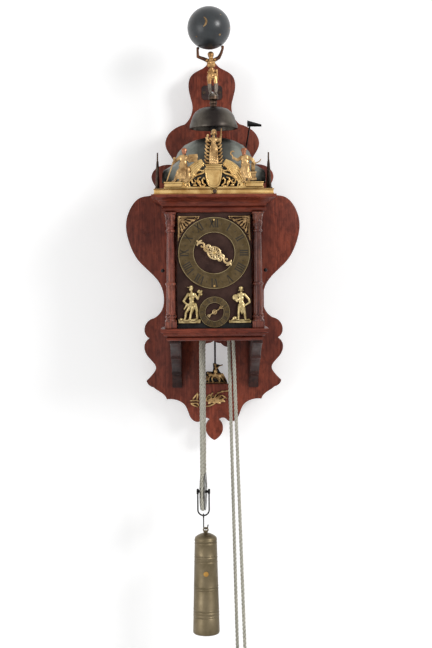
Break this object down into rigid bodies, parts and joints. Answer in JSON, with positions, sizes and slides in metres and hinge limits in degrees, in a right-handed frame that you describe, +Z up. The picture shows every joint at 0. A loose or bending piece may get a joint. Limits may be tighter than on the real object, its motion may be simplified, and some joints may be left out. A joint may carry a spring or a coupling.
{
  "type": "wall clock",
  "caption": "Weight-driven wall clock with a fretted wooden backboard, posted case, brass figures, stacked bells and a globe carried by a figure.",
  "frame": {"origin": "centre of the hanging hole at the backboard's rear face", "axes": "+Z up, +Y towards the wall, +X to the right of someone who faces the dial"},
  "size_m": [0.319, 0.2465, 1.1783],
  "materials": {
    "mahogany": "waxed, worn gloss",
    "column_wood": "waxed, worn gloss",
    "dark_wood": "dark stained, matt",
    "bare_wood": "unfinished",
    "polished_brass": "polished",
    "aged_brass": "aged, brushed",
    "ring_brass": "aged, engraved",
    "gilt": "gilded, worn",
    "steel": "bright, filed",
    "iron": "blackened",
    "bell_metal": "grey bronze, polished",
    "bell_bronze": "grey bronze, dull",
    "globe_paint": "dark blue-grey, satin",
    "velvet": "dark brown velvet",
    "rope": "twisted natural fibre",
    "glass": "clear, slightly wavy"
  },
  "bodies": {
    "case": {"backboard": "mahogany", "wall_spacers": "bare_wood", "hanging_plate": "iron", "fasteners": "steel", "case_top": "dark_wood", "cornice_moulding": "mahogany", "shelf": "mahogany", "column_left": "column_wood", "column_right": "column_wood", "corbel_left": "dark_wood", "corbel_right": "dark_wood", "door_pins": "steel", "dial_plate": "iron", "dial_velvet": "velvet", "chapter_ring": "ring_brass", "spandrels": "polished_brass", "dial_figures": "polished_brass", "alarm_ring": "ring_brass", "brass_cornice": "polished_brass", "front_fret": "polished_brass", "centre_figure": "polished_brass", "seated_figures": "polished_brass", "side_frets": "polished_brass", "big_bell": "bell_metal", "small_bell": "bell_bronze", "bell_stand": "iron", "finial_socket": "aged_brass", "atlas_figure": "gilt", "globe": "globe_paint", "movement_plates": "iron", "movement_bars": "iron", "weight_rope": "rope", "counter_rope": "rope", "leaf_ornament": "polished_brass"},
    "weight_set": {"weight_stirrup": "iron", "weight_hook": "steel", "weight": "aged_brass"},
    "pulley": {"weight_sheave": "dark_wood"},
    "counterweight": {"counterweight": "iron"},
    "going_wheel": {"going_great_wheel": "aged_brass"},
    "second_arbor": {"second_wheel": "aged_brass"},
    "escape_arbor": {"escape_wheel": "aged_brass"},
    "anchor": {"anchor": "steel"},
    "pendulum": {"pendulum_rod": "iron", "rider_bob": "aged_brass"},
    "hour_arbor": {"hour_wheel": "aged_brass", "hour_hand": "steel"},
    "alarm_hand": {"alarm_hand": "steel"},
    "strike_wheel": {"strike_great_wheel": "aged_brass"},
    "pin_arbor": {"pin_wheel": "aged_brass"},
    "fly": {"fly": "aged_brass"},
    "half_hour_hammer": {"half_hour_hammer": "iron"},
    "hour_hammer": {"hour_hammer": "iron"},
    "alarm_hammer": {"alarm_hammer": "iron"},
    "door_left": {"door_left": "mahogany", "door_glass_left": "glass", "door_knob_left": "aged_brass"},
    "door_right": {"door_right": "mahogany", "door_glass_right": "glass", "door_knob_right": "aged_brass"}
  },
  "joints": [
    {"name": "weight_travel", "type": "slide", "parent": "case", "child": "weight_set", "axis": [0, 0, 1], "range_m": [-0.3, 0.2], "deforming": ["weight_rope"]},
    {"name": "counterweight_travel", "type": "slide", "parent": "case", "child": "counterweight", "axis": [0, 0, 1], "range_m": [-0.2, 0.3], "deforming": ["counter_rope"]},
    {"name": "sheave_spin", "type": "hinge", "parent": "weight_set", "child": "pulley", "pos_m": [-0.0211, -0.112, -0.7162], "axis": [0.9963, -0.0863, 0], "range_deg": [-382, 572]},
    {"name": "going_wheel_spin", "type": "hinge", "parent": "case", "child": "going_wheel", "pos_m": [0.0025, -0.142, -0.345], "axis": [0, 1, 0], "range_deg": [-1315, 877]},
    {"name": "second_wheel_spin", "type": "hinge", "parent": "case", "child": "second_arbor", "pos_m": [0.0025, -0.15, -0.3126], "axis": [0, 1, 0], "range_deg": [-7010, 10510]},
    {"name": "hour_hand_turn", "type": "hinge", "parent": "case", "child": "hour_arbor", "pos_m": [0, -0.19, -0.2969], "axis": [0, 1, 0], "range_deg": [-147, 220]},
    {"name": "alarm_hand_turn", "type": "hinge", "parent": "case", "child": "alarm_hand", "pos_m": [0, -0.195, -0.3971], "axis": [0, 1, 0], "continuous": true},
    {"name": "pendulum_swing", "type": "hinge", "parent": "case", "child": "pendulum", "pos_m": [0.0025, 0.008, -0.264], "axis": [0, 1, 0], "range_deg": [-4, 4]},
    {"name": "anchor_rock", "type": "hinge", "parent": "case", "child": "anchor", "pos_m": [0.0025, -0.1, -0.264], "axis": [0, 1, 0], "range_deg": [-4, 4]},
    {"name": "escape_step", "type": "hinge", "parent": "case", "child": "escape_arbor", "pos_m": [0.0025, -0.15, -0.2883], "axis": [0, 1, 0], "range_deg": [-3, 3]},
    {"name": "strike_wheel_spin", "type": "hinge", "parent": "case", "child": "strike_wheel", "pos_m": [0.0025, -0.082, -0.345], "axis": [0, 1, 0], "range_deg": [-1315, 877.2]},
    {"name": "pin_wheel_spin", "type": "hinge", "parent": "case", "child": "pin_arbor", "pos_m": [0.0025, -0.1, -0.3126], "axis": [0, 1, 0], "range_deg": [-8551, 12822]},
    {"name": "fly_spin", "type": "hinge", "parent": "case", "child": "fly", "pos_m": [0.0025, -0.08, -0.2883], "axis": [0, 1, 0], "continuous": true},
    {"name": "half_hour_hammer_swing", "type": "hinge", "parent": "case", "child": "half_hour_hammer", "pos_m": [0.04, -0.048, -0.226], "axis": [0, 1, 0], "range_deg": [-6.2, 4]},
    {"name": "hour_hammer_swing", "type": "hinge", "parent": "case", "child": "hour_hammer", "pos_m": [-0.041, -0.112, -0.226], "axis": [0, 1, 0], "range_deg": [-4.8, 8]},
    {"name": "alarm_hammer_swing", "type": "hinge", "parent": "case", "child": "alarm_hammer", "pos_m": [0.046, -0.112, -0.226], "axis": [0, 1, 0], "range_deg": [-8, 4.8]},
    {"name": "door_left_hinge", "type": "hinge", "parent": "case", "child": "door_left", "pos_m": [-0.081, -0.025, -0.3264], "axis": [0, 0, 1], "range_deg": [-90, 0]},
    {"name": "door_right_hinge", "type": "hinge", "parent": "case", "child": "door_right", "pos_m": [0.081, -0.025, -0.3264], "axis": [0, 0, 1], "range_deg": [0, 90]}
  ],
  "couplings": [
    {"joint": "counterweight_travel", "follows": "weight_travel", "ratio": -1},
    {"joint": "sheave_spin", "follows": "weight_travel", "rad_per_m": -33.21},
    {"joint": "going_wheel_spin", "follows": "weight_travel", "rad_per_m": 76.336},
    {"joint": "second_wheel_spin", "follows": "weight_travel", "rad_per_m": -610.69},
    {"joint": "hour_hand_turn", "follows": "weight_travel", "rad_per_m": -12.723},
    {"joint": "anchor_rock", "follows": "pendulum_swing", "ratio": 1},
    {"joint": "escape_step", "follows": "pendulum_swing", "ratio": 0.75},
    {"joint": "strike_wheel_spin", "follows": "pin_wheel_spin", "ratio": -0.10256}
  ]
}
